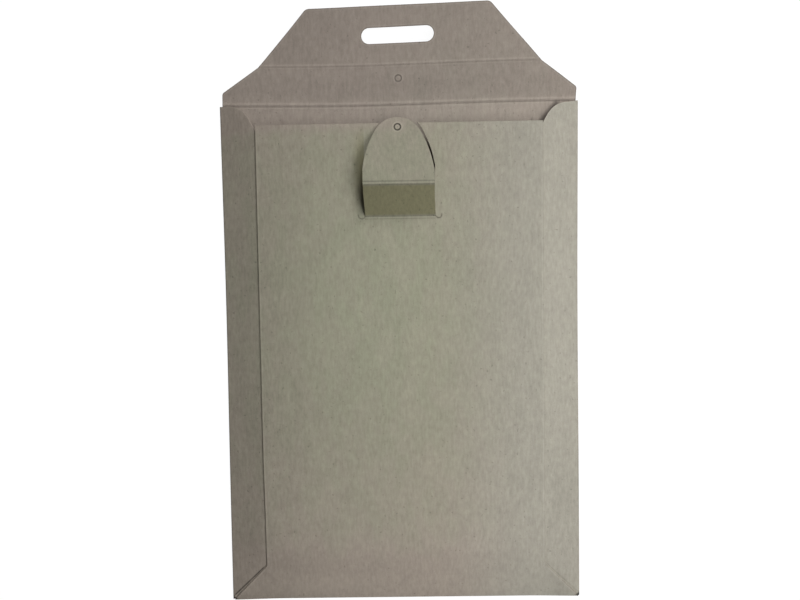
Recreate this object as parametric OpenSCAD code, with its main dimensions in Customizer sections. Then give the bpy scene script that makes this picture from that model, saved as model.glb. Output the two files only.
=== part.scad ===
// Greyboard envelope with a handle flap and a push-up locking tab.
// One die-cut, creased and folded sheet lying on its back, flap towards +Y.
// Lengths in millimetres, angles in degrees.

/* [Sheet] */
// Thickness of the greyboard
board = 0.7; // [0.5:0.05:1]
// Width of the folded body, over its side folds
body_w = 254; // [220:1:360]
// Height of the folded body, from the bottom fold to the flap's crease
body_h = 358; // [300:1:480]
// How far the side strips hold the pocket open
gap = 4.8; // [4.5:0.1:8]

/* [Front panel] */
// Width of the front panel above its mitred corners
panel_w = 203; // [180:0.5:215]
// Back panel left bare between the front panel's top edge and the flap's crease
mouth = 14; // [12:0.5:24]
// Height of the mitred corners at the bottom fold
mitre_h = 26; // [15:0.5:28]
// Radius between a mitre and the front panel's side
mitre_r = 3; // [0:0.5:5]
// Distance over which the front panel comes down to the bottom fold
toe = 30; // [28:0.5:40]

/* [Side strips] */
// Width of a side strip, with the part that is glued under the front panel
strip_w = 38; // [32:0.5:44]
// Distance from the side fold to the corner of a strip's top end
strip_shoulder = 16; // [14:0.5:20]
// Slope of a strip's top end below that corner
strip_slope = 61; // [50:1:70]
// Radius of that corner
strip_r = 17; // [6:0.5:18]
// Radius of the relief hole at each bottom corner
corner_r = 1.4; // [0.8:0.1:2]

/* [Flap] */
// Width of the flap at its crease
flap_w = 250; // [200:1:252]
// Length of the flap
flap_l = 67.5; // [60:0.5:90]
// Height of the straight side at the flap's crease
stub_h = 9.5; // [4:0.5:12]
// Radius at the top of that straight side
stub_r = 3; // [1:0.5:5]
// Distance from the flap's crease to its second crease, where the sides turn steeper
kink_h = 28.6; // [24:0.2:34]
// Width of the flap at the second crease
kink_w = 198.5; // [180:0.5:210]
// Width of the flap at its outer edge
tip_w = 128.5; // [100:0.5:150]
// Radius of the outer corners
tip_r = 5; // [2:0.5:8]
// Rise of the flap for each millimetre of its length, on the side that stands highest
lift = 0.17; // [0.02:0.01:0.25]

/* [Handle slot] */
// Length of the slot that is the carrying handle and takes the locking tab
slot_l = 51; // [50:0.5:64]
// Width of the slot
slot_w = 11; // [8:0.2:14]
// Distance from the flap's crease to the middle of the slot
slot_at = 48.2; // [44:0.1:52]

/* [Locking tab] */
// Distance from the flap's crease to the tab's root crease
root_at = 79.25; // [78:0.25:110]
// Width of the tab at its root
root_w = 49.4; // [40:0.2:49.6]
// Width of the tab at its shoulders, where the rounded end begins
tab_w = 50.6; // [49.6:0.1:52]
// Length of the tab's riser, from the root crease to the ridge crease
riser_l = 25; // [20:0.5:30]
// Length of the tab's tongue, from the ridge crease to the tip
tongue_l = 48.2; // [44:0.1:50]
// Length of the rounded end
ogive_l = 36.8; // [30:0.2:40]
// Radius of the sides of the rounded end
side_r = 80; // [60:1:120]
// Radius of the tongue's tip
nose_r = 14; // [10:0.5:16]
// Height of the ridge above the front panel
ridge_h = 11; // [6:0.1:12]
// Radius of the hooked relief cuts beside the root crease
hook_r = 2.3; // [1.5:0.1:4]
// Height of the middle of a hook above the root crease
hook_rise = 0.8; // [0.6:0.1:1.4]
// Width of the hooked relief cuts
cut_w = 0.5; // [0.3:0.1:0.8]
// Clearance between the tab and the window that it is cut from
tab_play = 0.3; // [0.2:0.05:0.5]
// Radius of the bead along a crease that is bent
bead_r = 0.43; // [0.4:0.01:0.6]

/* [Creases and marks] */
// Width of a pressed crease
crease_w = 1.2; // [0.8:0.1:2]
// Depth of a pressed crease
crease_d = 0.22; // [0.1:0.01:0.3]
// Outer diameter of the two pressed ring marks
ring_d = 4.7; // [3:0.1:6]
// Width of a ring mark's line
ring_line = 0.6; // [0.4:0.1:1]
// Depth of a ring mark
ring_depth = 0.2; // [0.1:0.01:0.3]
// Distance from the tongue's tip to its ring mark
tongue_ring = 8; // [6:0.5:12]
// Distance from the flap's crease to its ring mark
flap_ring = 18.7; // [14:0.1:22]

/* [Hidden] */
$fn = 72;
OVER = 1;
greyboard = [0.60, 0.585, 0.51];

// The sheet's main lines, with the origin under the middle of the whole outline
half_w = body_w / 2;
bottom_y = -(body_h + flap_l) / 2;
crease_y = bottom_y + body_h;
panel_top_y = crease_y - mouth;
root_y = crease_y - root_at;

// Heights of the faces, from the surface that the sheet lies on
strip_z = board + gap;
panel_z = strip_z + board;
top_z = panel_z + board;

// The front panel rises from the bottom fold on a parabola
TOE_STEPS = 8;
fold_y = bottom_y + board;
function toe_rise(y) = (panel_z - board) * (1 - pow(1 - min((y - fold_y) / toe, 1), 2));

// The flap is flat at its left side and lifts more and more towards its right
FLAP_COLUMNS = 26;
function ease(t) = t <= 0 ? 0 : t >= 1 ? 1 : t * t * (3 - 2 * t);
function rise_at(x) = lift * ease((x + 0.44 * flap_w) / (0.96 * flap_w));
function flap_z(x, y) = max(y - crease_y, 0) * rise_at(x);

// The tab's two panels, side on, by the middle of the board
mid_z = panel_z + board / 2;
riser_run = sqrt(riser_l * riser_l - ridge_h * ridge_h);
riser_angle = asin(ridge_h / riser_l);
ridge_y = root_y + riser_run;
ridge_z = mid_z + ridge_h;
tongue_drop = ridge_h + board + 0.2;
tongue_angle = asin(tongue_drop / tongue_l);

// The tongue's sides are arcs from its shoulders that run into the round of its tip
NOSE_STEPS = 14;
SIDE_STEPS = 10;
tab_l = riser_l + tongue_l;
nose_at = [0, tab_l - nose_r];
shoulder_at = [tab_w / 2, tab_l - ogive_l];
function side_centre() =
    let (
        reach = norm(shoulder_at - nose_at),
        u = (shoulder_at - nose_at) / reach,
        a = (pow(side_r - nose_r, 2) - pow(side_r, 2) + pow(reach, 2)) / (2 * reach),
        h = sqrt(pow(side_r - nose_r, 2) - a * a)
    )
    nose_at + a * u + h * [u[1], -u[0]];

// Corner of an outline, [x, y, radius], as an arc from one side to the next
ARC_STEPS = 10;
function along(from, to) = (to - from) / norm(to - from);
function arc_corner(before, here, after, r) =
    r == 0 ? [here] :
    let (
        a = along(here, before),
        b = along(here, after),
        half = acos(a * b) / 2,
        centre = here + (a + b) / norm(a + b) * r / sin(half),
        start = here + a * r / tan(half) - centre,
        end = here + b * r / tan(half) - centre,
        turn = 180 - 2 * half,
        side = sign(start[0] * end[1] - start[1] * end[0])
    )
    [for (i = [0 : ARC_STEPS])
        let (t = side * turn * i / ARC_STEPS)
        centre + [start[0] * cos(t) - start[1] * sin(t), start[0] * sin(t) + start[1] * cos(t)]];
function xy(p) = [p[0], p[1]];
function rounded(points) =
    let (n = len(points))
    [for (i = [0 : n - 1])
        each arc_corner(xy(points[(i + n - 1) % n]), xy(points[i]), xy(points[(i + 1) % n]), points[i][2])];

module both_sides() {
    children();
    mirror([1, 0, 0]) children();
}

// Outline of a side strip, seen from above
module strip_outline() {
    inner_x = half_w - strip_w;
    shoulder_x = half_w - strip_shoulder;
    inner_top = crease_y - (shoulder_x - inner_x) * tan(strip_slope);
    polygon(rounded([
        [half_w - board, bottom_y + board, 0],
        [half_w - board, crease_y, 0],
        [shoulder_x, crease_y, strip_r],
        [inner_x, inner_top, 0],
        [inner_x, bottom_y + toe, 0],
        [panel_w / 2, bottom_y + mitre_h - 2 * board, 0],
    ]));
}

// Section of a side strip: up from the side fold, then flat under the front panel
module strip_section() {
    fold_x = half_w - board;
    polygon([
        [fold_x, board],
        [panel_w / 2, strip_z],
        [half_w - strip_w, strip_z],
        [half_w - strip_w, panel_z],
        [panel_w / 2, panel_z],
        [fold_x, 2 * board],
    ]);
}

module side_strip() {
    intersection() {
        linear_extrude(top_z) strip_outline();
        translate([0, crease_y + OVER, 0]) rotate([90, 0, 0])
            linear_extrude(body_h + 2 * OVER) strip_section();
    }
    translate([half_w - board, bottom_y + board, board]) rotate([-90, 0, 0])
        cylinder(r = board, h = body_h - board);
}

module back_panel() {
    translate([-half_w + board, bottom_y + board, 0]) cube([body_w - 2 * board, body_h - board, board]);
}

// Outline of the tab, laid flat, with its root crease on y = 0 and its tip at the top.
// The window that it is cut from is the same shape, larger by the play all round.
module tab_outline(play = 0) {
    foot_x = root_w / 2 + play;
    centre = side_centre();
    first = acos((tab_w / 2 + play - centre[0]) / (side_r + play));
    last = atan2(nose_at[1] - centre[1], -centre[0]);
    right = [for (i = [0 : SIDE_STEPS - 1])
        let (t = first + (last - first) * i / SIDE_STEPS)
        centre + (side_r + play) * [cos(t), sin(t)]];
    tip = [for (i = [0 : NOSE_STEPS])
        let (t = last + (180 - 2 * last) * i / NOSE_STEPS)
        nose_at + (nose_r + play) * [cos(t), sin(t)]];
    left = [for (i = [SIDE_STEPS - 1 : -1 : 0]) [-right[i][0], right[i][1]]];
    polygon(concat([[-foot_x, 0], [foot_x, 0]], right, tip, left));
}

// Outline of the front panel, seen from above
module panel_outline() {
    polygon(rounded([
        [-half_w + board, bottom_y + board, 0],
        [half_w - board, bottom_y + board, 0],
        [panel_w / 2, bottom_y + mitre_h, mitre_r],
        [panel_w / 2, panel_top_y, 0],
        [-panel_w / 2, panel_top_y, 0],
        [-panel_w / 2, bottom_y + mitre_h, mitre_r],
    ]));
}

// Hooked relief cut that curls down and out from an end of the root crease
module hook_cut() {
    translate([root_w / 2 + tab_play + hook_r, root_y + hook_rise]) difference() {
        circle(hook_r + cut_w / 2);
        circle(hook_r - cut_w / 2);
        translate([-2 * hook_r, 0]) square([4 * hook_r, 2 * hook_r]);
    }
}

// Section of the front panel: up from the bottom fold, then flat to its top edge
module panel_section() {
    flat_y = fold_y + toe;
    under = [for (i = [0 : TOE_STEPS]) let (y = fold_y + toe * i / TOE_STEPS) [y, board + toe_rise(y)]];
    over = [for (i = [TOE_STEPS : -1 : 0]) under[i] + [0, board]];
    polygon(concat(under, [[panel_top_y, panel_z], [panel_top_y, top_z]], over));
}

module front_panel() {
    intersection() {
        rotate([90, 0, 90]) translate([0, 0, -half_w]) linear_extrude(body_w) panel_section();
        linear_extrude(top_z + OVER) difference() {
            panel_outline();
            translate([0, root_y]) tab_outline(tab_play);
            both_sides() hook_cut();
        }
    }
    translate([-half_w + board, bottom_y + board, board]) rotate([0, 90, 0])
        cylinder(r = board, h = body_w - 2 * board);
}

// Part of the tab between two distances from its root crease, with that first distance on y = 0
module tab_length(from, to) {
    translate([0, -from]) intersection() {
        tab_outline();
        translate([-tab_w, from]) square([2 * tab_w, to - from]);
    }
}

module ring_mark() {
    difference() {
        cylinder(d = ring_d, h = OVER);
        translate([0, 0, -OVER]) cylinder(d = ring_d - 2 * ring_line, h = 3 * OVER);
    }
}

// Bead along X that joins the two sides of a bent crease
module bead(length) {
    translate([-length / 2, 0, 0]) rotate([0, 90, 0]) cylinder(r = bead_r, h = length);
}

module tab() {
    riser_w = root_w + (tab_w - root_w) * riser_l / (riser_l + tongue_l - ogive_l);
    translate([0, root_y, mid_z]) rotate([riser_angle, 0, 0])
        translate([0, 0, -board / 2]) linear_extrude(board) tab_length(0, riser_l);
    translate([0, ridge_y, ridge_z]) rotate([-tongue_angle, 0, 0]) difference() {
        translate([0, 0, -board / 2]) linear_extrude(board) tab_length(riser_l, riser_l + tongue_l);
        translate([0, tongue_l - tongue_ring, board / 2 - ring_depth]) ring_mark();
    }
    translate([0, ridge_y, ridge_z]) bead(riser_w - 2 * tab_play);
    translate([0, root_y, mid_z]) bead(root_w - 2 * tab_play);
}

// Outline of the flap, seen from above, with its slot
module flap_outline() {
    right = [
        [flap_w / 2, 0, 0],
        [flap_w / 2, stub_h, stub_r],
        [kink_w / 2, kink_h, 0],
        [tip_w / 2, flap_l, tip_r],
    ];
    left = [for (i = [len(right) - 1 : -1 : 0]) [-right[i][0], right[i][1], right[i][2]]];
    difference() {
        polygon(rounded(concat(right, left)));
        translate([0, slot_at]) both_sides() translate([(slot_l - slot_w) / 2, 0]) circle(d = slot_w);
        translate([0, slot_at]) square([slot_l - slot_w, slot_w], center = true);
    }
}

// The sheet that the flap is cut from, lifted by its own rule
module flap_sheet() {
    kink_y = crease_y + kink_h;
    rows = [crease_y, kink_y - crease_w / 2, kink_y, kink_y + crease_w / 2, crease_y + flap_l + OVER];
    points = [for (side = [0, board]) for (y = rows) for (i = [0 : FLAP_COLUMNS])
        let (x = -half_w + body_w * i / FLAP_COLUMNS, pressed = side > 0 && y == kink_y ? crease_d : 0)
        [x, y, side + flap_z(x, y) - pressed]];
    row = FLAP_COLUMNS + 1;
    top = row * len(rows);
    cells = [for (j = [0 : len(rows) - 2]) for (i = [0 : FLAP_COLUMNS - 1]) j * row + i];
    under = [for (c = cells) each [[c, c + 1, c + row + 1], [c, c + row + 1, c + row]]];
    over = [for (f = under) [f[2] + top, f[1] + top, f[0] + top]];
    rim = concat(
        [for (i = [0 : FLAP_COLUMNS]) i],
        [for (j = [1 : len(rows) - 1]) j * row + FLAP_COLUMNS],
        [for (i = [FLAP_COLUMNS - 1 : -1 : 0]) top - row + i],
        [for (j = [len(rows) - 2 : -1 : 1]) j * row]
    );
    walls = [for (i = [0 : len(rim) - 1])
        let (a = rim[i], b = rim[(i + 1) % len(rim)])
        each [[a, a + top, b + top], [a, b + top, b]]];
    polyhedron(points, concat(under, over, walls));
}

module flap() {
    difference() {
        intersection() {
            translate([0, crease_y, -OVER]) linear_extrude(lift * flap_l + board + 3 * OVER) flap_outline();
            flap_sheet();
        }
        translate([0, crease_y + flap_ring, board + flap_z(0, crease_y + flap_ring)])
            rotate([atan(rise_at(0)), 0, 0]) translate([0, 0, -ring_depth]) ring_mark();
    }
}

// Pressed V line along X, cut down from z = 0
module crease_line(length) {
    rotate([90, 0, 90]) translate([0, 0, -length / 2]) linear_extrude(length)
        polygon([[-crease_w / 2, OVER], [-crease_w / 2, 0], [0, -crease_d], [crease_w / 2, 0], [crease_w / 2, OVER]]);
}

module corner_holes() {
    both_sides() translate([half_w - board, bottom_y + board, -OVER]) cylinder(r = corner_r, h = gap + OVER);
}

module envelope() {
    color(greyboard) difference() {
        union() {
            back_panel();
            both_sides() side_strip();
            front_panel();
            tab();
            flap();
        }
        translate([0, crease_y, board]) crease_line(body_w);
        corner_holes();
    }
}

envelope();
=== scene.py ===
"""Open greyboard envelope, lying on its back: one die-cut sheet, folded as the real one is folded."""
import math
from collections import namedtuple

import bpy
import numpy as np
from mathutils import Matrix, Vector
from mathutils.geometry import delaunay_2d_cdt
from mathutils.kdtree import KDTree


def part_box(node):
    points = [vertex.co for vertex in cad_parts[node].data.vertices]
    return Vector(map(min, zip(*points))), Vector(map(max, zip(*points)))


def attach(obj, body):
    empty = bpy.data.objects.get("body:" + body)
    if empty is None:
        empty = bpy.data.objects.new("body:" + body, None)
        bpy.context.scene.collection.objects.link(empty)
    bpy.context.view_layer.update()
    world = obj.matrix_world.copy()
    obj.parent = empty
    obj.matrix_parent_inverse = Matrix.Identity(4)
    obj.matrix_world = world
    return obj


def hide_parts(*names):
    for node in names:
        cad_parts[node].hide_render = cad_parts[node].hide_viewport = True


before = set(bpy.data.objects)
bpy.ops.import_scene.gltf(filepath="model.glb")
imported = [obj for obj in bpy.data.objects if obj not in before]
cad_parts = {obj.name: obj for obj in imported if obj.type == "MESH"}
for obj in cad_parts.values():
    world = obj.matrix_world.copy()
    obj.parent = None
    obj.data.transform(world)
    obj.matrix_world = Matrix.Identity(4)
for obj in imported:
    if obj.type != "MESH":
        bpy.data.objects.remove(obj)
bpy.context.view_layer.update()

MM = 0.001

# The board and its folds, in mm
BOARD = 0.7
FOLD_R = 0.42
GLUE = 0.05
GAP = 4.8

# The outline of the sheet, in mm, on the frame's own main lines
LOW, HIGH = (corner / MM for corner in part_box("envelope"))
FLAP_L = 67.5
FOLD_X = HIGH.x - BOARD / 2 - FOLD_R
FOLD_Y = LOW.y + BOARD / 2 + FOLD_R
CREASE_Y = HIGH.y - FLAP_L
PANEL_W = 202.0
PANEL_TOP = CREASE_Y - 14.0
PANEL_CORNER_R = 0.5
MITRE_H = 27.0
MITRE_R = 3.0
TOE_ANGLE = 13.5
STRIP_W = 38.0
STRIP_SHOULDER = 16.0
STRIP_SLOPE = 61.0
STRIP_R = 17.0
STRIP_INNER_R = 3.0
STRIP_FOOT = 32.0
STRIP_TUCK = 1.4
RELIEF_R = 0.95

FLAP_W = 250.0
STUB_H = 9.5
STUB_R = 2.6
KINK_H = 27.6
KINK_W = 198.5
KINK_R = 9.0
TIP_W = 128.5
TIP_R = 5.0
LIFT = 0.17
SLOT_L = 51.0
SLOT_W = 11.0
SLOT_AT = 48.2

ROOT_Y = CREASE_Y - 79.25
ROOT_W = 49.4
TAB_W = 50.0
RISER_L = 24.4
TONGUE_L = 46.0
RISEN_TONGUE_L = 48.9
TAB_L = RISER_L + TONGUE_L
OGIVE_L = 36.8
SIDE_R = 75.0
NOSE_R = 18.0
RIDGE_H = 11.0
TONGUE_DROP = RIDGE_H + BOARD + 0.2
BEND_L = 1.2
HOOK_R = 2.3
HOOK_RISE = 0.8
HOOK_END = 20.0
CUT_W = 0.35
TIGHT_CUT = 0.14

# How this one lies a little off its even shape, in mm
RIDGE_SHIFT = -0.6
TIP_SHIFT = -1.0
NOTCH = 0.5
NOTCH_RISE = 2.0
NOTCH_R = 2.4
BOW = 1.6
BOW_X = -35.0
BOW_W = 80.0
BOW_ENDS = 0.6
KINK_SHIFT_LEFT = 0.3
KINK_SHIFT_RIGHT = 1.2
KINK_SHIFT_L = 20.0
WAIST = 0.75
WAIST_Y = 10.0
WAIST_L = 110.0
BOTTOM_RISE = 0.95
CORNER_SHARE = 0.3
EDGE_RISE = 0.9
EDGE_X = -22.0
EDGE_W = 48.0
STRIP_PULL = 1.4
STRIP_DROP = 1.1
MITRE_PULL = 0.6
CLOSED_W = 14.0
WAVE_BROAD = 0.10
WAVE_FINE = 0.07

# Where each of these begins, and the length over which it grows, in mm
RIDGE_SPAN = (0.0, 20.0)
TIP_SPAN = (RISER_L - 3.0, 30.0)
TIGHT_SPAN = (3.0, 6.0)
BOW_SPAN = (CREASE_Y - 45.0, 40.0)
KINK_SPAN = (45.0, 45.0)
LIFT_SPAN = (-0.44 * FLAP_W, 0.96 * FLAP_W)
WAIST_SPAN = (103.0, 20.0)
BOTTOM_SPAN = (LOW.y + 60.0, 60.0)
CORNER_SPAN = (FOLD_X + 6.0, 45.0)
EDGE_SPAN = (CREASE_Y + 52.0, 15.0)
PULL_SPAN_X = (FOLD_X, 14.0)
PULL_SPAN_Y = (CREASE_Y - 30.0, 20.0)
DROP_SPAN_X = (FOLD_X, 6.0)
DROP_SPAN_Y = (CREASE_Y - 14.0, 10.0)
MITRE_SPAN_X = (-50.0, 40.0)
MITRE_SPAN_Y = (-100.0, 60.0)
CLOSED_SPAN_LOW = (0.0, 20.0)
CLOSED_SPAN_HIGH = (46.0, 16.0)
WAVE_SPAN_X = (FOLD_X, 30.0)
WAVE_SPAN_Y = (FOLD_Y, 40.0)

RING_R = 2.1
TONGUE_RING_Y = ROOT_Y + TAB_L - 7.1
FLAP_RING_Y = CREASE_Y + 18.7

# Board pushed up or down beside a crease or a ring: place, half width and rise, in mm
CREASE_BEADS = ((1.5, 0.9, 0.26), (-1.3, 0.8, 0.12))
KINK_BEADS = ((1.0, 0.7, 0.16), (-1.0, 0.7, 0.08))
RING_BEADS = ((0.0, 0.32, -0.15), (0.9, 0.4, 0.05))

# Specks on the front panel and on the mouth, from the middle of the flap's crease on the flat sheet
PANEL_SPECKS = ((-40.7, -32.1), (-21.5, -35.0), (-18.2, -102.8))
MOUTH_SPECKS = ((25.6, -11.5), (-12.3, -6.2))
SPECK_R = 0.8

# The painted shadow in the gap beside the right strip's rounded end, on the flat sheet
WEDGE_LOW = (101.7, CREASE_Y - 15.0)
WEDGE_HIGH = (113.0, CREASE_Y - 1.6)
WEDGE_SIDE = -1.2
WEDGE_W = 3.2

# Heights of the middle of the board, in mm
BACK_Z = BOARD / 2
STRIP_Z = BOARD + GAP + BOARD / 2
FRONT_Z = STRIP_Z + BOARD + GLUE

# Spacing of the mesh, in mm, on the panels and beside a crease
MESH_STEP = 4.5
FOLD_STEPS = 10
CREASE_STEPS = (-4.2, -3, -2.2, -1.5, -1, -0.6, -0.3, 0, 0.3, 0.6, 1, 1.5, 2, 2.6, 3.4, 4.6)
CREASE_CLEAR = 5.2
RING_STEPS = (0.5, 1.1, 1.5, 1.8, 2.1, 2.4, 2.7, 3.2, 4.0)
RING_POINTS = 24
RING_CLEAR = 0.8
RIM_STEPS = (0.5, 1.2)
GRID_CLEAR = 0.3
SHORTEST_EDGE = 0.12

# Rings of the cut edge: height as a share of the board, and how far each bulges, in mm
CUT_RINGS = ((0.30, 0.05), (0.0, 0.07), (-0.30, 0.05))
SHARP_ANGLE = 32.0

# Colours of the board, by their 0 to 255 values
INNER_OLIVE = (156, 149, 137)
INNER_PINK = (159, 148, 138)
OUTER_OLIVE = (156, 156, 135)
OUTER_PINK = (166, 155, 143)
# The pale grey is painted light for the lit right side, and the brown is the painted colour of shade on
# the riser and beside the tab
OUTER_LIT_PALE = (163, 160, 148)
OUTER_SHADE_BROWN = (155, 151, 118)
CUT_OLIVE = (148, 143, 128)
CUT_PINK = (152, 142, 130)
# Shares of that painted light and painted shade
LIT_PALE_SHARE = 0.8
SHADE_BROWN_SHARE = 0.9

# The greenest place of the board: the way from it to the middle in mm, and one over its reach
FROM_GREENEST = (20, -10, 0)
GREEN_REACH = (1 / 95, 1 / 150, 0)

# Grain of the board: repeats per mm across, along and up, and change of tone
FIBRE_PITCH = (0.62, 0.16, 0.62)
MOTTLE_PITCH = (0.34, 0.26, 0.34)
TOOTH_PITCH = (2.2, 1.6, 2.2)
CLOUD_PITCH = (0.09, 0.05, 0.09)
DRIFT_PITCH = (0.11, 0.05, 0.11)
FLECK_PITCH = (0.62, 0.5, 0.62)
FIBRE_TONE = 0.42
MOTTLE_TONE = 0.22
TOOTH_TONE = 0.24
CLOUD_TONE = 0.16
FLECK_TONE = -0.24

# Lines beside a crease or in a ring: place and half width in mm, and change of tone; beside a crease they
# are painted shade in the crease and painted highlights on its beads
CREASE_LINES = ((0.0, 0.8, -0.17), (2.1, 1.6, 0.07), (-1.8, 1.3, 0.04))
KINK_LINES = ((0.0, 0.8, -0.08), (1.6, 1.2, 0.04))
ROOT_LINES = ((-0.2, 0.8, -0.26), (0.8, 0.6, 0.07), (1.6, 0.7, -0.20))
RIDGE_LINES = ((0.6, 0.7, -0.16), (-1.5, 0.9, -0.32), (-0.3, 0.5, 0.08))
RING_LINES = (
    (RING_R + 0.1, 0.85, -1.0),
    (RING_R + 1.2, 0.8, 0.22),
    (RING_R - 1.1, 0.7, 0.16),
    (0.0, 0.55, -0.36),
)

# Other changes of tone, with the span of the tab's tone and the size of its shade in mm
RISER_GREY = 0.13
TONGUE_GREY = 0.16
TONE_SPAN = (RISER_L - 0.5, 1.0)
FLAP_RING_SHARE = 0.5
SPECK_TONE = -0.27
# Painted shade for the dark inside of the corner holes
CORNER_SHADE_TONE = -0.8
# Painted light on the mouth, painted shade on the flap, and painted shadow in the gap by the right strip
MOUTH_LIGHT_TONE = 0.07
STUB_SHADE_TONE = -0.08
FLAP_LEFT_SHADE_TONE = -0.08
WEDGE_SHADOW_TONE = -0.55
SHADE_TONE = -0.20
SHADE_W = 10.0
SHADE_L = 34.0
# Painted highlights on the panel's edges and the mitre and strip rims, painted light on the toe, painted
# shadow in the mitre and painted shade on the side folds
PANEL_EDGE_HIGHLIGHT = 0.10
TOE_LIGHT_TONE = 0.07
TOE_LEFT_LIGHT_TONE = 0.10
MITRE_RIM_HIGHLIGHT = 0.14
STRIP_RIM_HIGHLIGHT = 0.16
MITRE_SHADOW_TONE = -0.12
MITRE_LEFT_SHADOW_TONE = -0.5
FOLD_SHADE_TONE = -0.13

# Lamps: places and sizes in metres, power in watts, and the far lamp's angles in degrees
SIDE_LAMP = {"place": (0.28, -0.06, 0.30), "aim": (0, -0.02, 0), "wide": 0.90, "tall": 0.22, "power": 1.80}
FAR_LAMP = {"aim": (0, 0, 0), "wide": 1.4, "tall": 1.0, "power": 125.0}
FAR_LAMP_AZIMUTH = 76.0
FAR_LAMP_ELEVATION = 25.0
FAR_LAMP_AWAY = 4.0
ROOM_LIGHT = 0.06

# The floor's half width in metres, its grey, and how much of a plain glow the camera sees on it
FLOOR_HALF = 6.0
FLOOR_GREY = 0.8
FLOOR_GLOW = 1.08
FLOOR_GLOW_SHARE = 0.9

# The camera: place in mm, turns in degrees, and its lens by the picture's width
CAMERA_AT = (3.1, CREASE_Y - 113.0, 503.2)
CAMERA_TURNS = (-2.94, 0.43, -0.88)
FOCAL_PX = 700.0
PICTURE_PX = 800.0
SENSOR_W = 36.0


def ease(t):
    t = np.clip(t, 0, 1)
    return t * t * (3 - 2 * t)


def above(value, span):
    """0 at the start of a span and 1 at its end, smooth between."""
    start, length = span
    return ease((value - start) / length)


def below(value, span):
    """0 at the start of a span that runs downwards, and 1 at its end."""
    start, length = span
    return ease((start - value) / length)


def hump(x, width):
    return np.exp(-((x / width) ** 2))


def beads(across, rows):
    """Sum of the humps at several places beside a line."""
    return sum(rise * hump(across - place, width) for place, width, rise in rows)


def unit(vectors):
    return vectors / np.maximum(np.linalg.norm(vectors, axis=1, keepdims=True), 1e-12)


class Section:
    """The middle line of the board seen from its edge: legs of (length, degrees turned upwards)."""

    def __init__(self, start, heading, legs):
        self.legs = []
        s, spot, angle = 0.0, np.array(start, float), math.radians(heading)
        for length, turn in legs:
            bend = math.radians(turn) / length
            self.legs.append((s, *spot, angle, bend))
            spot = spot + self.travel(length, angle, bend)
            angle += bend * length
            s += length
        self.length, self.end = s, spot

    @staticmethod
    def travel(s, angle, bend):
        straight = np.abs(bend) < 1e-9
        safe = np.where(straight, 1.0, bend)
        end = angle + bend * s
        out = np.where(straight, s * np.cos(angle), (np.sin(end) - np.sin(angle)) / safe)
        up = np.where(straight, s * np.sin(angle), (np.cos(angle) - np.cos(end)) / safe)
        return np.array([out, up])

    def at(self, s):
        """Distance out and height at a length along the section."""
        legs = np.array(self.legs)
        leg = legs[np.clip(np.searchsorted(legs[:, 0], s, side="right") - 1, 0, len(legs) - 1)]
        return leg[..., 1:3].T + self.travel(s - leg[..., 0], leg[..., 3], leg[..., 4])


def side_section():
    """From the side fold up to the front panel's edge and flat under the panel."""
    slope = math.degrees(math.atan2(STRIP_Z - BACK_Z - 2 * FOLD_R, FOLD_X - PANEL_W / 2))
    fold = (math.radians(180 - slope) * FOLD_R, 180 - slope)
    bend_l = 3.0
    start = Section((0, BACK_Z), 0, [fold]).end[1]
    bend_rise = bend_l * (1 - math.cos(math.radians(slope))) / math.radians(slope)
    climb = (STRIP_Z - start - bend_rise) / math.sin(math.radians(slope))
    return Section((0, BACK_Z), 0, [fold, (climb, 0), (bend_l, slope), (STRIP_W, 0)])


def front_section():
    """From the bottom fold up in a long curve and flat to the panel's top edge."""
    fold = (math.radians(180 - TOE_ANGLE) * FOLD_R, 180 - TOE_ANGLE)
    toe = math.radians(TOE_ANGLE)
    start = Section((0, BACK_Z), 0, [fold]).end[1]
    toe_l = (FRONT_Z - start) * toe / (1 - math.cos(toe))
    return Section((0, BACK_Z), 0, [fold, (toe_l, TOE_ANGLE), (PANEL_TOP + TAB_L - FOLD_Y, 0)])


def tab_section():
    """From the root crease up the riser, over the ridge and down the tongue."""
    up = math.degrees(math.asin(RIDGE_H / RISER_L))
    down = math.degrees(math.asin(TONGUE_DROP / RISEN_TONGUE_L))
    curl = 2.0
    legs = [
        (BEND_L, -up),
        (RISER_L - 1.5 * BEND_L, 0),
        (BEND_L, up + down - curl),
        (RISEN_TONGUE_L / 2, curl),
        (RISEN_TONGUE_L, 0),
    ]
    return Section((0, FRONT_Z), 180, legs)


SIDE = side_section()
FRONT = front_section()
TAB = tab_section()


def unfolded(section, reach):
    """Length along a section at which it comes back to a distance in from its fold."""
    s = np.linspace(section.legs[1][0], section.length, 4000)
    return float(np.interp(reach, -section.at(s)[0], s))


def strip_u(x):
    return FOLD_X + unfolded(SIDE, FOLD_X - x)


def front_v(y):
    return FOLD_Y - unfolded(FRONT, y - FOLD_Y)


ROOT_V = front_v(ROOT_Y)
FRONT_S = np.linspace(FRONT.legs[1][0], FRONT.length, 4000)
FRONT_LINE = FRONT.at(FRONT_S)


def arc(centre, radius, start, end, steps):
    """Points on an arc, by angles in degrees."""
    turns = np.radians(np.linspace(start, end, steps + 1))
    return [(centre[0] + radius * math.cos(t), centre[1] + radius * math.sin(t)) for t in turns]


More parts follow.
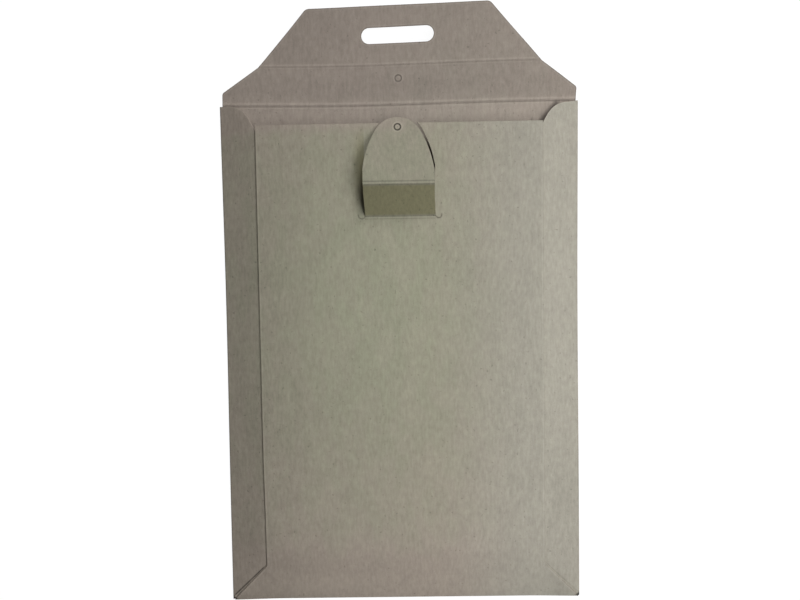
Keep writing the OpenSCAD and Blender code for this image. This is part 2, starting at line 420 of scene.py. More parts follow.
def rounded(points, steps=8):
    """An open line of (x, y, radius), with each inner corner rounded."""
    line = [points[0][:2]]
    for before, here, after in zip(points, points[1:], points[2:]):
        corner, radius = Vector(here[:2]), here[2]
        a = (Vector(before[:2]) - corner).normalized()
        b = (Vector(after[:2]) - corner).normalized()
        if radius == 0:
            line.append(tuple(corner))
            continue
        half = a.angle(b) / 2
        centre = corner + (a + b).normalized() * (radius / math.sin(half))
        start = corner + a * (radius / math.tan(half)) - centre
        end = corner + b * (radius / math.tan(half)) - centre
        turn = (math.pi - 2 * half) * math.copysign(1, start.x * end.y - start.y * end.x)
        for i in range(steps + 1):
            t = turn * i / steps
            spin = Vector((
                start.x * math.cos(t) - start.y * math.sin(t),
                start.x * math.sin(t) + start.y * math.cos(t),
            ))
            line.append(tuple(centre + spin))
    return line + [points[-1][:2]]


def tab_side(play):
    """Right side of the tab, laid flat, from the top of its hook to its tip."""
    nose = np.array([0.0, ROOT_Y + TAB_L - NOSE_R])
    shoulder = np.array([TAB_W / 2, ROOT_Y + TAB_L - OGIVE_L])
    reach = np.linalg.norm(shoulder - nose)
    along = (shoulder - nose) / reach
    a = ((SIDE_R - NOSE_R) ** 2 - SIDE_R ** 2 + reach ** 2) / (2 * reach)
    across = math.sqrt((SIDE_R - NOSE_R) ** 2 - a ** 2)
    centre = nose + a * along + across * np.array([along[1], -along[0]])
    first = math.degrees(math.acos((TAB_W / 2 + play - centre[0]) / (SIDE_R + play)))
    last = math.degrees(math.atan2(nose[1] - centre[1], -centre[0]))
    side = arc(centre, SIDE_R + play, first, last, 14)
    tip = arc(nose, NOSE_R + play, last, 90, 9)
    return [(ROOT_W / 2 + play, ROOT_Y + HOOK_RISE)] + side + tip[1:]


def window_side():
    """Right side of the tab's window, from the panel's top edge down to the hook."""
    shoulder_y = ROOT_Y + TAB_L - OGIVE_L
    line = []
    for x, y in tab_side(CUT_W):
        rise = y - shoulder_y
        tight = (CUT_W - TIGHT_CUT) * below(rise, TIGHT_SPAN)
        notch = NOTCH * hump(rise - NOTCH_RISE, NOTCH_R)
        line.append((x - tight + notch, y))
    kept = [point for point in line if point[1] < PANEL_TOP]
    last, beyond = kept[-1], line[len(kept)]
    share = (PANEL_TOP - last[1]) / (beyond[1] - last[1])
    top = (last[0] + share * (beyond[0] - last[0]), PANEL_TOP)
    return [top] + kept[::-1]


def right_half():
    """Right half of the die-cut outline, from the middle of the flap's edge to the tab's tip."""
    flap = rounded([
        (0, CREASE_Y + FLAP_L, 0),
        (TIP_W / 2, CREASE_Y + FLAP_L, TIP_R),
        (KINK_W / 2, CREASE_Y + KINK_H, KINK_R),
        (FLAP_W / 2, CREASE_Y + STUB_H, STUB_R),
        (FLAP_W / 2, CREASE_Y, 0),
    ])
    inner_x = HIGH.x - STRIP_W
    shoulder_x = HIGH.x - STRIP_SHOULDER
    inner_top = CREASE_Y - (shoulder_x - inner_x) * math.tan(math.radians(STRIP_SLOPE))
    fold_l = FOLD_R * math.pi
    relief = (FOLD_X + fold_l / 2, FOLD_Y - fold_l / 2)
    hole = arc(relief, RELIEF_R, 45, 225, 10)
    strip = rounded([
        (FOLD_X, CREASE_Y, 0),
        (strip_u(shoulder_x), CREASE_Y, STRIP_R),
        (strip_u(inner_x), inner_top, STRIP_INNER_R),
        (strip_u(inner_x), LOW.y + STRIP_FOOT, STRIP_INNER_R),
        (strip_u(PANEL_W / 2), LOW.y + MITRE_H - STRIP_TUCK, 0),
        (*hole[0], 0),
    ])
    panel = rounded([
        (*hole[-1], 0),
        (PANEL_W / 2, front_v(LOW.y + MITRE_H), MITRE_R),
        (PANEL_W / 2, front_v(PANEL_TOP), PANEL_CORNER_R),
        (TAB_W, front_v(PANEL_TOP), 0),
    ])
    hook = (ROOT_W / 2 + CUT_W / 2 + HOOK_R, ROOT_Y + HOOK_RISE)
    cut = window_side()
    cut += arc(hook, HOOK_R - CUT_W / 2, 180, 360 + HOOK_END, 14)[1:]
    cut += arc(hook, HOOK_R + CUT_W / 2, 360 + HOOK_END, 180, 16)
    cut += tab_side(0)[1:]
    return flap + strip + hole[1:] + panel[1:-1] + [(x, front_v(y)) for x, y in cut]


def slot_loop():
    """Outline of the handle slot, with fully round ends."""
    reach, middle = (SLOT_L - SLOT_W) / 2, CREASE_Y + SLOT_AT
    right = arc((reach, middle), SLOT_W / 2, -90, 90, 16)
    return right + [(-x, y) for x, y in reversed(right)]


def grid_lines():
    """Places of the mesh's lines across and along the flat sheet."""
    fold_l = FOLD_R * math.pi
    wide = strip_u(HIGH.x - STRIP_W)
    across = [*np.arange(0, FOLD_X - 3, MESH_STEP), FOLD_X - 2.5, FOLD_X - 1]
    across += list(FOLD_X + np.linspace(0, fold_l, FOLD_STEPS + 1))
    across += [FOLD_X + fold_l + 1, FOLD_X + fold_l + 2.5]
    across += list(np.arange(FOLD_X + fold_l + 5, wide, MESH_STEP))
    bend = strip_u(PANEL_W / 2)
    across += [bend - 1.5, bend, bend + 1.5]
    across = sorted(set(np.round(across, 3)))
    across = [-u for u in reversed(across) if u > 0] + across
    tip = front_v(ROOT_Y + TAB_L)
    along = list(np.arange(tip, FOLD_Y - fold_l - 3, MESH_STEP))
    along += [FOLD_Y - fold_l - 2.5, FOLD_Y - fold_l - 1]
    along += list(FOLD_Y - np.linspace(0, fold_l, FOLD_STEPS + 1))
    along += [FOLD_Y + 1, FOLD_Y + 2.5, *np.arange(FOLD_Y + 5, HIGH.y, MESH_STEP)]
    for crease in (ROOT_V - BEND_L / 2, ROOT_V - RISER_L, CREASE_Y, CREASE_Y + KINK_H):
        along = [v for v in along if abs(v - crease) > CREASE_CLEAR]
        along += [crease + step for step in CREASE_STEPS]
    return np.array(across), np.array(sorted(set(np.round(along, 3))))


def split(loop, across, along):
    """A closed loop with a point wherever it crosses a line of the mesh, and none too close."""
    points = []
    for (ua, va), (ub, vb) in zip(loop, loop[1:] + loop[:1]):
        stops = [0.0]
        for a, b, lines in ((ua, ub, across), (va, vb, along)):
            if abs(b - a) > 1e-6:
                share = (lines - a) / (b - a)
                stops += [t for t in share if 0.0 < t < 1.0]
        length = math.hypot(ub - ua, vb - va)
        kept = []
        for t in sorted(stops):
            near_end = t > 0 and (1 - t) * length < SHORTEST_EDGE
            if not near_end and (not kept or (t - kept[-1]) * length > SHORTEST_EDGE):
                kept.append(t)
        points += [(ua + t * (ub - ua), va + t * (vb - va)) for t in kept]
    return points


def inside(points, loops):
    """Which points lie in the area that the loops bound."""
    odd = np.zeros(len(points), bool)
    x, y = points[:, 0], points[:, 1]
    for loop in loops:
        for (xa, ya), (xb, yb) in zip(loop, loop[1:] + loop[:1]):
            if ya != yb:
                crosses = (ya > y) != (yb > y)
                odd ^= crosses & (x < xa + (y - ya) * (xb - xa) / (yb - ya))
    return odd


def tree_of(points):
    """A search tree for the nearest of some flat points."""
    tree = KDTree(len(points))
    for i, (u, v) in enumerate(points):
        tree.insert((u, v, 0), i)
    tree.balance()
    return tree


def distance_to(tree, points):
    return np.array([tree.find((u, v, 0))[2] for u, v in points])


def close_points(loops, step=0.25):
    """Points along the loops, no further apart than the step."""
    points = []
    for loop in loops:
        for (ua, va), (ub, vb) in zip(loop, loop[1:] + loop[:1]):
            count = max(1, math.ceil(math.hypot(ub - ua, vb - va) / step))
            points += [(ua + (ub - ua) * i / count, va + (vb - va) * i / count) for i in range(count)]
    return points


def rim_line(loop, loops, tree, inset):
    """Points beside a cut, a little way into the board, in runs that belong together."""
    line = np.array(loop)
    step = np.roll(line, -1, 0) - line
    side = unit(np.stack([-step[:, 1], step[:, 0]], 1))
    inward = unit(side + np.roll(side, 1, 0))
    if not inside(line[:1] + inward[:1] * 0.05, loops)[0]:
        inward = -inward
    points = line + inward * inset
    good = inside(points, loops) & (distance_to(tree, points) > 0.9 * inset)
    return points, good


def flat_mesh():
    """Corners and triangles of the sheet before it is folded, and each corner's distance from a cut."""
    half = right_half()
    across, along = grid_lines()
    outline = half + [(-u, v) for u, v in reversed(half) if u > 1e-6]
    loops = [split(outline, across, along), split(slot_loop(), across, along)]
    cuts = tree_of(close_points(loops))
    points, edges = [], []
    for loop in loops:
        first, count = len(points), len(loop)
        points += loop
        edges += [(first + i, first + (i + 1) % count) for i in range(count)]
    for inset in RIM_STEPS:
        for loop in loops:
            line, good = rim_line(loop, loops, cuts, inset)
            places = np.cumsum(good) - 1 + len(points)
            joined = good & np.roll(good, -1)
            edges += [(int(places[i]), int(np.roll(places, -1)[i])) for i in np.flatnonzero(joined)]
            points += [tuple(p) for p in line[good]]
    grid = np.array([(u, v) for v in along for u in across])
    rings = [(0.0, FLAP_RING_Y), (0.0, front_v(TONGUE_RING_Y))]
    for middle in rings:
        grid = grid[np.hypot(*(grid - middle).T) > RING_STEPS[-1] + RING_CLEAR]
    grid = grid[inside(grid, loops)]
    grid = grid[distance_to(tree_of(points), grid) > GRID_CLEAR]
    points += [tuple(p) for p in grid] + rings
    last_turn = 360 - 360 / RING_POINTS
    for middle in rings:
        for radius in RING_STEPS:
            points += arc(middle, radius, 0, last_turn, RING_POINTS - 1)
    made = delaunay_2d_cdt([Vector(p) for p in points], edges, [], 0, 1e-5)
    flat = np.array([tuple(p) for p in made[0]])
    faces = np.array([f for f in made[2] if len(f) == 3])
    faces = faces[inside(flat[faces].mean(1), loops)]
    used, places = np.unique(faces, return_inverse=True)
    flat = flat[used]
    return flat, places.reshape(-1, 3), distance_to(cuts, flat)


BACK, STRIP, PANEL, TONGUE, FLAP = range(5)


def tab_reach(y):
    """Half the width of the tab, laid flat, with half of the cut beside it."""
    line = np.array(tab_side(CUT_W / 2))
    return np.interp(y, line[:, 1], line[:, 0])


def part_of(u, v):
    """Which part of the sheet each flat point belongs to."""
    part = np.full(len(u), BACK)
    part[np.abs(u) > FOLD_X] = STRIP
    part[v > CREASE_Y] = FLAP
    front = v < FOLD_Y - 1e-9
    part[front & (np.abs(u) < FOLD_X + 1)] = PANEL
    y = ROOT_Y + (ROOT_V - v)
    part[front & (y > ROOT_Y) & (np.abs(u) < tab_reach(y))] = TONGUE
    return part


def board_wave(x, y):
    """Slight waves that the glued layers share, in mm."""
    broad = WAVE_BROAD * np.sin(x / 37 + 1.0) * np.sin(y / 52 + 0.4)
    fine = WAVE_FINE * np.sin(x / 21 - y / 33 + 2.0)
    return (broad + fine) * below(np.abs(x), WAVE_SPAN_X) * above(y, WAVE_SPAN_Y)


def lower_of(a, b, soft=0.2):
    """The lower of two heights, with a soft change from one to the other."""
    mix = np.clip(0.5 + 0.5 * (b - a) / soft, 0, 1)
    return b + (a - b) * mix - soft * mix * (1 - mix)


def pressed(y):
    """Rise of the board beside the flap's two creases."""
    return beads(y - CREASE_Y, CREASE_BEADS) + beads(y - CREASE_Y - KINK_H, KINK_BEADS)


def ring_press(x, y):
    """Rise of the pressed ring around a middle."""
    return beads(np.hypot(x, y) - RING_R, RING_BEADS)


def crease_bow(x, y):
    """How far the flap's crease, and what is near it, lies above a straight line."""
    return (BOW_ENDS - BOW * hump(x - BOW_X, BOW_W)) * above(y, BOW_SPAN)


def drift_across(x, y, v, part):
    """How far the sheet strays sideways: a slim waist, a pulled mitre and a window closed on the right."""
    waist = WAIST * hump(y - WAIST_Y, WAIST_L) * above(np.abs(x), WAIST_SPAN)
    across = np.where(part == FLAP, 0, -np.sign(x) * waist)
    mitre = MITRE_PULL * below(x, MITRE_SPAN_X) * below(y, MITRE_SPAN_Y)
    across += np.where(part == PANEL, mitre, 0)
    rise = ROOT_V - v
    beside_window = above(rise, CLOSED_SPAN_LOW) * below(rise, CLOSED_SPAN_HIGH)
    closed = RIDGE_SHIFT * beside_window * hump(x - TAB_W / 2, CLOSED_W)
    across += np.where((part == PANEL) & (x > 0), closed, 0)
    pull = STRIP_PULL * below(x, PULL_SPAN_X) * above(y, PULL_SPAN_Y)
    return across - np.where((part == STRIP) & (x > 0), pull, 0)


def drift_along(x, y, v, part):
    """How far the sheet strays along y: a hollow bottom edge, a full flap edge, a dropped right strip."""
    ends = below(np.abs(x), CORNER_SPAN) * (1 - CORNER_SHARE) + CORNER_SHARE
    bottom = BOTTOM_RISE * below(y, BOTTOM_SPAN) * ends
    top = EDGE_RISE * hump(x - EDGE_X, EDGE_W) * above(v, EDGE_SPAN)
    drop = STRIP_DROP * below(x, DROP_SPAN_X) * above(y, DROP_SPAN_Y)
    return np.where(part == FLAP, top, bottom) - np.where((part == STRIP) & (x > 0), drop, 0)


def folded(u, v, part):
    """Where each flat point ends up, in mm, on the middle of the board."""
    x, y, z = u.copy(), v.copy(), np.full(len(u), BACK_Z)
    k = part == STRIP
    out, up = SIDE.at(np.abs(u[k]) - FOLD_X)
    x[k] = np.sign(u[k]) * (FOLD_X + out)
    under = np.interp(y[k] - FOLD_Y, -FRONT_LINE[0], FRONT_LINE[1]) - BOARD - GLUE
    z[k] = np.where(np.abs(u[k]) - FOLD_X < 2 * FOLD_R * math.pi, up, lower_of(up, under))
    k = part == PANEL
    out, up = FRONT.at(FOLD_Y - v[k])
    y[k], z[k] = FOLD_Y - out, up
    k = part == TONGUE
    s = ROOT_V - v[k]
    beyond = np.maximum(s - RISER_L, 0)
    out, up = TAB.at(s + beyond * (RISEN_TONGUE_L / TONGUE_L - 1))
    y[k], z[k] = ROOT_Y - out, up
    z[k] += ring_press(u[k], v[k] - front_v(TONGUE_RING_Y))
    x[k] += RIDGE_SHIFT * above(s, RIDGE_SPAN) + (TIP_SHIFT - RIDGE_SHIFT) * above(s, TIP_SPAN)
    k = part == FLAP
    rise = LIFT * above(u[k], LIFT_SPAN)
    z[k] += (v[k] - CREASE_Y) * rise + ring_press(u[k], v[k] - FLAP_RING_Y)
    kink_shift = np.where(u[k] < 0, KINK_SHIFT_LEFT, KINK_SHIFT_RIGHT)
    x[k] += kink_shift * hump(v[k] - CREASE_Y - KINK_H, KINK_SHIFT_L) * above(np.abs(u[k]), KINK_SPAN)
    k = (part == FLAP) | (part == BACK)
    z[k] += pressed(v[k])
    k = (part == STRIP) | (part == PANEL) | (part == TONGUE)
    z[k] += board_wave(x[k], y[k])
    k = (part == FLAP) | (part == BACK) | (part == STRIP)
    y[k] += crease_bow(x[k], y[k])
    across = drift_across(x, y, v, part)
    along = drift_along(x, y, v, part)
    return np.stack([x + across, y + along, z], 1)


def rim_of(flat, faces):
    """Directed edges round the sheet's cuts, and the flat direction out of the board at each corner."""
    sides = np.concatenate([faces[:, [0, 1]], faces[:, [1, 2]], faces[:, [2, 0]]])
    known = {tuple(side) for side in sides}
    rim = np.array([side for side in sides if (side[1], side[0]) not in known])
    step = flat[rim[:, 1]] - flat[rim[:, 0]]
    normal = unit(np.stack([step[:, 1], -step[:, 0]], 1))
    out = np.zeros((len(flat), 2))
    np.add.at(out, rim[:, 0], normal)
    np.add.at(out, rim[:, 1], normal)
    return rim, unit(out)


def tab_tone(s):
    """Greyness of the tab's board along its length: it is set darker than the panel, the tongue more than
    the riser.
    """
    return 1 - RISER_GREY - (TONGUE_GREY - RISER_GREY) * above(s, TONE_SPAN)


def envelope_mesh():
    """The folded sheet as one closed mesh: inner face, outer face and a rounded cut edge."""
    flat, faces, reach = flat_mesh()
    u, v = flat.T
    part = part_of(u, v)
    middle = folded(u, v, part)
    nudge = 0.01
    along_u = (folded(u + nudge, v, part) - folded(u - nudge, v, part)) / (2 * nudge)
    along_v = (folded(u, v + nudge, part) - folded(u, v - nudge, part)) / (2 * nudge)
    normal = unit(np.cross(along_u, along_v))
    rim, out = rim_of(flat, faces)
    outward = unit(along_u * out[:, :1] + along_v * out[:, 1:])
    count = len(flat)
    blank = np.stack([u, v, reach], 1)
    tone = np.where(part == TONGUE, tab_tone(ROOT_V - v), 1.0)
    verts = [middle + normal * BOARD / 2, middle - normal * BOARD / 2]
    blanks, tones = [blank, blank], [tone, tone]
    polys = [*faces.tolist(), *(faces[:, ::-1] + count).tolist()]
    slots = [0] * len(faces) + [1] * len(faces)
    corners = np.unique(rim)
    place = np.full(count, -1)
    place[corners] = np.arange(len(corners))
    rings = [np.arange(count)]
    for share, bulge in CUT_RINGS:
        base = sum(len(block) for block in verts)
        verts.append((middle + normal * BOARD * share + outward * bulge)[corners])
        blanks.append(blank[corners])
        tones.append(tone[corners])
        rings.append(np.where(place >= 0, place + base, -1))
    rings.append(np.arange(count) + count)
    for upper, lower in zip(rings, rings[1:]):
        for a, b in rim:
            polys.append([int(upper[b]), int(upper[a]), int(lower[a]), int(lower[b])])
            slots.append(2)
    mesh = bpy.data.meshes.new("envelope_sheet")
    mesh.from_pydata((np.concatenate(verts) * MM).tolist(), [], polys)
    values = (("blank", "FLOAT_VECTOR", "vector", blanks), ("tone", "FLOAT", "value", tones))
    for name, kind, field, blocks in values:
        made = mesh.attributes.new(name, kind, "POINT")
        made.data.foreach_set(field, np.concatenate(blocks).ravel())
    mesh.polygons.foreach_set("material_index", slots)
    mesh.polygons.foreach_set("use_smooth", [True] * len(polys))
    mesh.update()
    mesh.set_sharp_from_angle(angle=math.radians(SHARP_ANGLE))
    return mesh


class Wire:
    """A socket that a shader expression can be written with."""

    def __init__(self, tree, socket):
        self.tree, self.socket = tree, socket

    def maths(self, operation, *values):
        return self.tree.node("ShaderNodeMath", {"operation": operation}, *values)

    def __add__(self, other):
        return self.maths("ADD", self, other)

    def __sub__(self, other):
        return self.maths("SUBTRACT", self, other)

    def __rsub__(self, other):
        return self.maths("SUBTRACT", other, self)

    def __mul__(self, other):
        return self.maths("MULTIPLY", self, other)

    def __abs__(self):
        return self.maths("ABSOLUTE", self)

    def root(self):
        return self.maths("SQRT", self)

    __radd__, __rmul__ = __add__, __mul__

    def near(self, place, width):
        """1 at a place, down to 0 at a distance from it."""
        return abs(self - place).ramp(width, 0.0)

    def ramp(self, start, end):
        """0 at start, 1 at end, smooth between; start may be the larger."""
        settings = {"interpolation_type": "SMOOTHSTEP"}
        values = {"Value": self, "From Min": start, "From Max": end}
        return self.tree.node("ShaderNodeMapRange", settings, **values)


class Shader:
    """A material's node tree, built by calls."""

    def __init__(self, name):
        self.material = bpy.data.materials.new(name)
        self.material.use_nodes = True
        self.nodes = self.material.node_tree.nodes
        self.links = self.material.node_tree.links
        self.surface = self.nodes["Principled BSDF"]

    def node(self, kind, settings=None, *values, out=0, **named):
        made = self.nodes.new(kind)
        for key, value in (settings or {}).items():
            setattr(made, key, value)
        for key, value in [*enumerate(values), *named.items()]:
            self.feed(made.inputs[key], value)
        return Wire(self, made.outputs[out])

    def feed(self, socket, value):
        if isinstance(value, Wire):
            self.links.new(value.socket, socket)
        else:
            socket.default_value = value

    def set(self, **named):
        for key, value in named.items():
            self.feed(self.surface.inputs[key.replace("_", " ")], value)

    def scaled(self, vector, *scale):
        return self.node("ShaderNodeVectorMath", {"operation": "MULTIPLY"}, vector, scale)

    def noise(self, place, pitch, detail=2.0, rough=0.5):
        """Noise that repeats so many times a millimetre across, along and up."""
        values = {"Scale": 1.0, "Detail": detail, "Roughness": rough}
        return self.node("ShaderNodeTexNoise", None, Vector=self.scaled(place, *pitch), **values)

    def split(self, vector):
        parts = self.node("ShaderNodeSeparateXYZ", None, vector)
        return [Wire(self, parts.socket.node.outputs[i]) for i in range(3)]

    def length(self, vector):
        return self.node("ShaderNodeVectorMath", {"operation": "LENGTH"}, vector, out=1)

    def mix(self, factor, a, b, blend="MIX"):
        """Two colours, mixed or multiplied."""
        made = self.nodes.new("ShaderNodeMix")
        made.data_type = "RGBA"
        made.blend_type = blend
        for socket, value in ((made.inputs[0], factor), (made.inputs[6], a), (made.inputs[7], b)):
            self.feed(socket, value)
        return Wire(self, made.outputs[2])


def srgb(r, g, b):
    """A colour given by its 0 to 255 values, as the shader takes it."""
    return (*(((c / 255 + 0.055) / 1.055) ** 2.4 if c > 10 else c / 3294.6 for c in (r, g, b)), 1.0)


# Where a shader is: x and y on the envelope, u and v on the flat sheet, and the distance from a cut
Spot = namedtuple("Spot", "x y u v reach")


def tone_lines(distance, lines):
    """Darker and paler lines beside a crease or round a middle; beside a crease, painted shade and
    highlights.
    """
    return sum((distance.near(place, width) * tone for place, width, tone in lines), 0.0)


def from_middle(across, along):
    """Distance from a middle, by the distances across and along."""
    return (across * across + along * along).root()


def ring_marks(across, along):
    """Pressed ring: a dark line, a pale surround and a small dot in its middle."""
    return tone_lines(from_middle(across, along), RING_LINES)


def line_mark(u, v, start, end, beside, width):
    """1 along a straight line on the flat sheet, or a little beside it, and 0 away from it."""
    along = (Vector(end) - Vector(start)).normalized()
    length = (Vector(end) - Vector(start)).length
    right, up = u - start[0], v - start[1]
    across = right * along.y - up * along.x
    far = right * along.x + up * along.y
    fade = 4
    return across.near(beside, width) * far.near(length / 2, length / 2 + fade).ramp(0.0, 0.3)


def speck(across, along):
    """Small dark speck, by the distances from its middle."""
    return from_middle(across, along).ramp(SPECK_R, SPECK_R / 3) * SPECK_TONE


def corner_mark(u, v):
    """Dark spot round the relief hole at each bottom corner: painted shade for the dark inside of the
    hole.
    """
    fold_l = FOLD_R * math.pi
    across = abs(u) - (FOLD_X + fold_l / 2)
    along = v - (FOLD_Y - fold_l / 2)
    return from_middle(across, along).ramp(4 * RELIEF_R, 1.6) * CORNER_SHADE_TONE


def inner_marks(spot):
    """Lines of the inner face: the flap's creases and ring, painted light on the mouth, painted shade on
    the flap and a painted shadow in the gap by the right strip.
    """
    u, v = spot.u, spot.v
    kink = CREASE_Y + KINK_H
    marks = tone_lines(v - CREASE_Y, CREASE_LINES) + tone_lines(v - kink, KINK_LINES)
    for x, y in MOUTH_SPECKS:
        marks += speck(u - x, v - (CREASE_Y + y))
    # Painted light on the mouth below the crease, and painted shade on the flap between its creases and on
    # its left beyond the kink
    marks += v.ramp(CREASE_Y + 1, CREASE_Y - 2) * MOUTH_LIGHT_TONE
    marks += v.near(CREASE_Y + 13, 15) * STUB_SHADE_TONE
    marks += v.ramp(kink, kink + 4) * u.ramp(-25, -80) * FLAP_LEFT_SHADE_TONE
    # Painted shadow in the gap beside the right strip's rounded end
    marks += line_mark(u, v, WEDGE_LOW, WEDGE_HIGH, WEDGE_SIDE, WEDGE_W) * WEDGE_SHADOW_TONE
    return marks + ring_marks(u, v - FLAP_RING_Y) * FLAP_RING_SHARE + corner_mark(u, v)


def beside_tab(u, v):
    """1 on the front panel close to the left of the raised tab, where little light comes in."""
    edge = -TAB_W / 2
    near_edge = u.ramp(edge - SHADE_W, edge - 1) * u.ramp(edge + 0.6, edge - 0.2)
    return near_edge * v.near(ROOT_V - SHADE_L, SHADE_L)


def on_tab(u):
    """1 between the two sides of the tab."""
    return abs(u).ramp(TAB_W / 2 + 0.3, TAB_W / 2 - 0.3)


def tab_marks(spot):
    """The tab's two creases with painted shade and highlights, its ring, the painted shade beside it and
    the front panel's specks.
    """
    u, v = spot.u, spot.v
    ridge_v = ROOT_V - RISER_L
    creases = tone_lines(v - ROOT_V, ROOT_LINES) + tone_lines(v - ridge_v, RIDGE_LINES)
    marks = creases * on_tab(u) + ring_marks(u, v - front_v(TONGUE_RING_Y))
    for x, y in PANEL_SPECKS:
        marks += speck(u - x, v - front_v(CREASE_Y + y))
    return marks + beside_tab(u, v) * SHADE_TONE


def edge_marks(spot):
    """Painted highlights on the rims, painted light on the toe, painted shadow in the mitres and painted
    shade on the folds, round the front panel and the side strips.
    """
    u, v, reach = spot.u, spot.v, spot.reach
    wide = abs(u)
    # Painted highlights along the panel's side edges, on the mitres' rims and on the strips' top ends, and
    # painted light on the toe
    panel_edge = wide.near(PANEL_W / 2 - 0.7, 0.9) * v.ramp(FOLD_Y - 20, FOLD_Y - 40)
    toe_tone = TOE_LIGHT_TONE + u.ramp(20, -90) * TOE_LEFT_LIGHT_TONE
    mitre_rim = reach.near(0.8, 0.7) * v.near(FOLD_Y - 14, 14).ramp(0.0, 0.4)
    strip_top = wide.ramp(FOLD_X + 4, FOLD_X + 6) * v.ramp(CREASE_Y - 26, CREASE_Y - 16)
    strip_rim = strip_top * reach.ramp(0.9, 0.2)
    mitre_start = (FOLD_X + FOLD_R * math.pi / 2, LOW.y + 2)
    mitre_end = (strip_u(PANEL_W / 2), LOW.y + MITRE_H)
    # Painted shadow along the mitre, much darker on the left
    mitre = line_mark(wide, v, mitre_start, mitre_end, -0.5, 0.95) * v.ramp(FOLD_Y, FOLD_Y + 1)
    marks = panel_edge * PANEL_EDGE_HIGHLIGHT + v.near(FOLD_Y - 9, 22) * toe_tone
    marks += mitre_rim * MITRE_RIM_HIGHLIGHT + strip_rim * STRIP_RIM_HIGHLIGHT
    marks += mitre * (MITRE_SHADOW_TONE + u.ramp(40, -40) * MITRE_LEFT_SHADOW_TONE)
    # Painted shade along the side folds
    return marks + wide.near(FOLD_X + 1.0, 0.9) * FOLD_SHADE_TONE


def outer_marks(spot):
    """Lines of the outer face."""
    return tab_marks(spot) + edge_marks(spot) + corner_mark(spot.u, spot.v)


def outer_tint(s, tint, spot):
    """The outer face is painted paler towards the lit right side, and painted browner as shade on the
    riser and in the tab's shade.
    """
    u, v = spot.u, spot.v
    # Painted light: paler towards the lit right side
    tint = s.mix(spot.x.ramp(15.0, 100.0) * LIT_PALE_SHARE, tint, srgb(*OUTER_LIT_PALE))
    # Painted shade: browner on the riser and beside the tab
    riser = v.near(ROOT_V - RISER_L / 2, RISER_L / 2 + 1).ramp(0.0, 0.15) * on_tab(u)
    return s.mix((riser + beside_tab(u, v)) * SHADE_BROWN_SHARE, tint, srgb(*OUTER_SHADE_BROWN))


def greyboard(name, olive, pink, marks=None, tints=None, rim=0.0, bump=1.0, left=0.0, low=0.0, middle=0.0):
    """Uncoated recycled board: upright fibres, specks and a faint drift between two greys."""
    s = Shader(name)
    place = s.scaled(s.node("ShaderNodeTexCoord", out=3), 1 / MM, 1 / MM, 1 / MM)
    x, y = s.split(place)[:2]
    spot = Spot(x, y, *s.split(s.node("ShaderNodeAttribute", {"attribute_name": "blank"}, out=1)))
    fibre = s.noise(place, FIBRE_PITCH, detail=3.0, rough=0.6)
    mottle = s.noise(place, MOTTLE_PITCH)
    tooth = s.noise(place, TOOTH_PITCH)
    cloud = s.noise(place, CLOUD_PITCH, detail=3.0)
    drift = s.noise(place, DRIFT_PITCH)
    fleck = s.noise(place, FLECK_PITCH, detail=0.0)
    grains = ((fibre, FIBRE_TONE), (tooth, TOOTH_TONE), (cloud, CLOUD_TONE), (mottle, MOTTLE_TONE))
    light = 1 + sum(((grain - 0.5) * tone for grain, tone in grains), 0.0)
    light += fleck.ramp(0.76, 0.86) * FLECK_TONE
    # Painted shade: darker towards the left, away from the light, and towards the foot of the right strip
    light -= x.ramp(-50.0, -115.0) * left + x.ramp(95.0, 112.0) * y.ramp(-40.0, -150.0) * low
    if marks:
        light += marks(spot)
    # Painted shade along the cut edges, with a grainy painted highlight a little way in
    light -= spot.reach.ramp(0.6, 0.05) * rim
    light += spot.reach.near(1.1, 0.6) * (tooth * 0.5) * rim
    from_greenest = s.node("ShaderNodeVectorMath", {"operation": "ADD"}, place, FROM_GREENEST)
    far = s.length(s.scaled(from_greenest, *GREEN_REACH))
    # Painted light: paler round the greenest place in the middle
    light += far.ramp(0.9, 0.1) * middle
    mouth = y.ramp(PANEL_TOP - 9, PANEL_TOP) * x.ramp(60.0, -40.0)
    bottom = y.ramp(LOW.y + 60, LOW.y + 12)
    pinkness = far.ramp(0.1, 1.9) * 0.8 + drift.ramp(0.35, 0.65) * 0.2 + (mouth + bottom) * 0.5
    tint = s.mix(pinkness, srgb(*olive), srgb(*pink))
    if tints:
        tint = tints(s, tint, spot)
    light = light * s.node("ShaderNodeAttribute", {"attribute_name": "tone"}, out=2)
    grey = s.node("ShaderNodeCombineColor", None, light, light, light)
    height = fibre * 0.6 + tooth * 0.4
    normal = s.node("ShaderNodeBump", None, Strength=0.6 * bump, Distance=0.12 * MM, Height=height)
    s.set(Base_Color=s.mix(1.0, tint, grey, "MULTIPLY"), Normal=normal, Roughness=0.9)
    s.surface.inputs["Specular IOR Level"].default_value = 0.25
    return s.material


def dress_envelope():
    """The folded sheet, in the place of the plain solid."""
    piece = bpy.data.objects.new("greyboard_envelope", envelope_mesh())
    bpy.context.scene.collection.objects.link(piece)
    # The rim, left, low and middle settings paint shade along the cut edges, towards the left and at the
    # right strip's foot, and light in the middle
    inner = greyboard("inner_face", INNER_OLIVE, INNER_PINK, marks=inner_marks, rim=0.40)
    painted_light_and_shade = {"rim": 0.08, "left": 0.13, "low": 0.10, "middle": 0.06}
    outer = greyboard("outer_face", OUTER_OLIVE, OUTER_PINK, marks=outer_marks, tints=outer_tint, **painted_light_and_shade)
    cut = greyboard("cut_edge", CUT_OLIVE, CUT_PINK, bump=2.0)
    for material in (inner, outer, cut):
        piece.data.materials.append(material)
    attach(piece, "root")
    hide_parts("envelope")


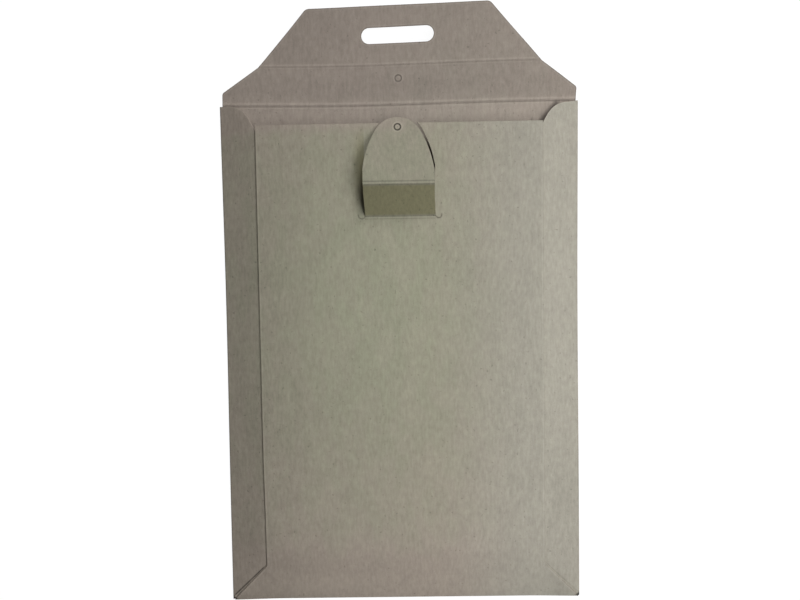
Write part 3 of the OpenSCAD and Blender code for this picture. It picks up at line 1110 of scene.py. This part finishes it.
def make_floor():
    """A pale floor that the camera sees as white, with the envelope's faint shadow."""
    mesh = bpy.data.meshes.new("floor")
    corners = [(x * FLOOR_HALF, y * FLOOR_HALF, 0) for x, y in ((-1, -1), (1, -1), (1, 1), (-1, 1))]
    mesh.from_pydata(corners, [], [(0, 1, 2, 3)])
    floor = bpy.data.objects.new("floor", mesh)
    bpy.context.scene.collection.objects.link(floor)
    s = Shader("pale_floor")
    s.set(Base_Color=(FLOOR_GREY, FLOOR_GREY, FLOOR_GREY, 1.0), Roughness=0.9)
    s.surface.inputs["Specular IOR Level"].default_value = 0.0
    glow = s.node("ShaderNodeEmission", None, (1.0, 1.0, 1.0, 1.0), FLOOR_GLOW)
    seen = s.node("ShaderNodeLightPath", out=0) * FLOOR_GLOW_SHARE
    both = s.node("ShaderNodeMixShader", None, seen, Wire(s, s.surface.outputs[0]), glow)
    s.links.new(both.socket, s.nodes["Material Output"].inputs["Surface"])
    mesh.materials.append(s.material)


def make_world():
    """White where the camera sees it, and a low even light everywhere else."""
    world = bpy.data.worlds.new("room")
    world.use_nodes = True
    bpy.context.scene.world = world
    nodes, links = world.node_tree.nodes, world.node_tree.links
    sky = nodes["Background"]
    sky.inputs["Color"].default_value = (1, 1, 1, 1)
    path = nodes.new("ShaderNodeLightPath")
    level = nodes.new("ShaderNodeMapRange")
    level.inputs["To Min"].default_value = ROOM_LIGHT
    level.inputs["To Max"].default_value = 1.0
    links.new(path.outputs["Is Camera Ray"], level.inputs["Value"])
    links.new(level.outputs[0], sky.inputs["Strength"])


def make_lamp(name, place, aim, wide, tall, power):
    lamp = bpy.data.lights.new(name, "AREA")
    lamp.shape = "RECTANGLE"
    lamp.size = wide
    lamp.size_y = tall
    lamp.energy = power
    holder = bpy.data.objects.new(name, lamp)
    holder.location = place
    holder.rotation_euler = (Vector(aim) - Vector(place)).to_track_quat("-Z", "Y").to_euler()
    bpy.context.scene.collection.objects.link(holder)


def make_lamps():
    """A long low lamp close on the right, and a far soft one beyond the flap."""
    make_lamp("side_lamp", **SIDE_LAMP)
    azimuth, elevation = math.radians(FAR_LAMP_AZIMUTH), math.radians(FAR_LAMP_ELEVATION)
    flat = FAR_LAMP_AWAY * math.cos(elevation)
    place = (flat * math.cos(azimuth), flat * math.sin(azimuth), FAR_LAMP_AWAY * math.sin(elevation))
    make_lamp("far_lamp", place, **FAR_LAMP)


def make_camera():
    """The photograph's view: half a metre above the sheet, turned a few degrees."""
    lens = bpy.data.cameras.new("camera")
    lens.sensor_width = SENSOR_W
    lens.lens = FOCAL_PX / PICTURE_PX * SENSOR_W
    camera = bpy.data.objects.new("camera", lens)
    camera.location = [along * MM for along in CAMERA_AT]
    camera.rotation_euler = [math.radians(turn) for turn in CAMERA_TURNS]
    bpy.context.scene.collection.objects.link(camera)
    bpy.context.scene.camera = camera


dress_envelope()
make_floor()
make_world()
make_lamps()
make_camera()
bpy.context.scene.view_settings.view_transform = "Standard"
